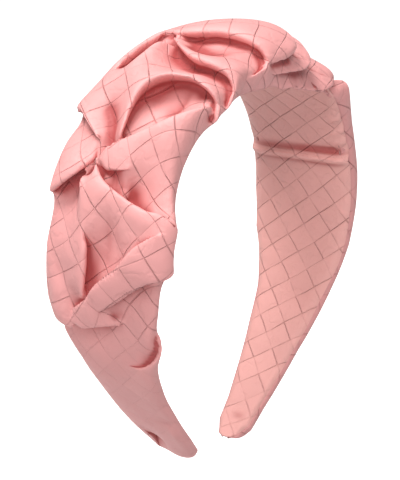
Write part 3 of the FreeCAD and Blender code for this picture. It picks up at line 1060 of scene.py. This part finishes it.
class HAIRBAND_OT_tacks(bpy.types.Operator):
    """Hand stitches inside the folds, and those that close the tips"""
    bl_idname = "hairband.tacks"
    bl_label = "Tacks and tip stitches"

    def execute(self, context):
        s = settings()
        rows = [(n + "_loops", n, body, at, y, lift, length, math.radians(lean))
                for n, body, at, y, lift, length, lean in TACKS]
        for side, sign in (("left", -1), ("right", 1)):
            rows.append((side + "_tip_loops", side + "_tip_stitches", side + "_arm",
                         sign * 176.0, -3.4, 1.6, 3.0, 0.0))
        for name, node, body, at, y, lift, length, lean in rows:
            lines = []
            for k in (-1, 0, 1):
                a, b = -length / 2, length / 2
                lines.append([(at + k * 0.6 - math.sin(lean) * t, y + math.cos(lean) * t, lift)
                              for t in (a, a / 2, 0, b / 2, b)])
            loops = stitched(name, lines, 0.001, 0.0014, 0.0005, s.seed, thread_material())
            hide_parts(node)
            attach(loops, body)
        return {"FINISHED"}


class HAIRBAND_OT_stage(bpy.types.Operator):
    """Pale floor, soft light and camera"""
    bl_idname = "hairband.stage"
    bl_label = "Stage"

    def execute(self, context):
        s = settings()
        scene = context.scene
        scene.view_settings.view_transform = "Standard"
        scene.view_settings.look = "None"
        mesh = bpy.data.meshes.new("floor")
        # low enough for the tips when the arms are spread
        r, z = 6.0, -0.092
        mesh.from_pydata([(-r, -r, z), (r, -r, z), (r, r, z), (-r, r, z)], [], [(0, 1, 2, 3)])
        floor = bpy.data.objects.new("floor", mesh)
        paint = plain("pale_floor", (0.9, 0.9, 0.9), 0.9)
        shader = paint.node_tree.nodes["Principled BSDF"]
        shader.inputs["Specular IOR Level"].default_value = 0.0
        shader.inputs["Emission Color"].default_value = (1.0, 1.0, 1.0, 1.0)
        shader.inputs["Emission Strength"].default_value = 0.7
        mesh.materials.append(paint)
        floor.visible_diffuse = False
        scene.collection.objects.link(floor)
        for name, place, size, power, colour in (
                ("key", (-0.32, 0.20, 0.92), 0.4, s.key_light, (1.0, 0.985, 0.97)),
                ("second", (-0.55, -0.52, 0.66), 0.4, s.key_light * 0.36, (1.0, 0.99, 0.98)),
                ("third", (-0.95, -0.12, 0.05), 0.4, s.key_light * 0.24, (1.0, 0.99, 0.98))):
            lamp = bpy.data.lights.new(name, "AREA")
            lamp.shape, lamp.size, lamp.energy, lamp.color = "DISK", size, power, colour
            holder = bpy.data.objects.new(name, lamp)
            holder.location = place
            holder.rotation_euler = (-Vector(place)).to_track_quat("-Z", "Y").to_euler()
            scene.collection.objects.link(holder)
        world = bpy.data.worlds.new("studio")
        world.use_nodes = True
        back = world.node_tree.nodes["Background"]
        back.inputs["Color"].default_value = (1.0, 1.0, 1.0, 1.0)
        back.inputs["Strength"].default_value = s.fill_light
        scene.world = world
        lens = bpy.data.cameras.new("camera")
        lens.lens, lens.sensor_width, lens.sensor_fit = 107.0, 36.0, "AUTO"
        lens.shift_x, lens.shift_y = -0.0273, -0.0092
        lens.clip_start, lens.clip_end = 0.01, 20.0
        camera = bpy.data.objects.new("camera", lens)
        az, el = math.radians(-58.3), math.radians(14.0)
        eye = 0.492 * Vector((math.sin(az) * math.cos(el), -math.cos(az) * math.cos(el), math.sin(el)))
        turn = (-eye).to_track_quat("-Z", "Y").to_matrix().to_4x4()
        camera.matrix_world = Matrix.Translation(eye) @ turn @ Matrix.Rotation(math.radians(4.2), 4, "Z")
        scene.collection.objects.link(camera)
        scene.camera = camera
        return {"FINISHED"}


class HAIRBAND_PT_panel(bpy.types.Panel):
    """Steps that build the hair band"""
    bl_idname = "HAIRBAND_PT_panel"
    bl_label = "Hair band"
    bl_space_type = "VIEW_3D"
    bl_region_type = "UI"
    bl_category = "Hair band"

    def draw(self, context):
        s = context.scene.hairband
        col = self.layout.column()
        for name in s.__annotations__:
            col.prop(s, name)
        for op in STEPS:
            col.operator(op.bl_idname)


STEPS = (HAIRBAND_OT_core, HAIRBAND_OT_cover, HAIRBAND_OT_lining, HAIRBAND_OT_seams,
         HAIRBAND_OT_tacks, HAIRBAND_OT_stage)
CLASSES = (HairbandSettings, *STEPS, HAIRBAND_PT_panel)


def register():
    for c in CLASSES:
        bpy.utils.register_class(c)
    bpy.types.Scene.hairband = PointerProperty(type=HairbandSettings)


def unregister():
    del bpy.types.Scene.hairband
    for c in reversed(CLASSES):
        bpy.utils.unregister_class(c)


def main():
    register()
    for op in STEPS:
        done = getattr(bpy.ops.hairband, op.bl_idname.split(".")[1])()
        if done != {"FINISHED"}:
            raise RuntimeError(op.bl_label + " did not finish")


if __name__ == "__main__":
    main()
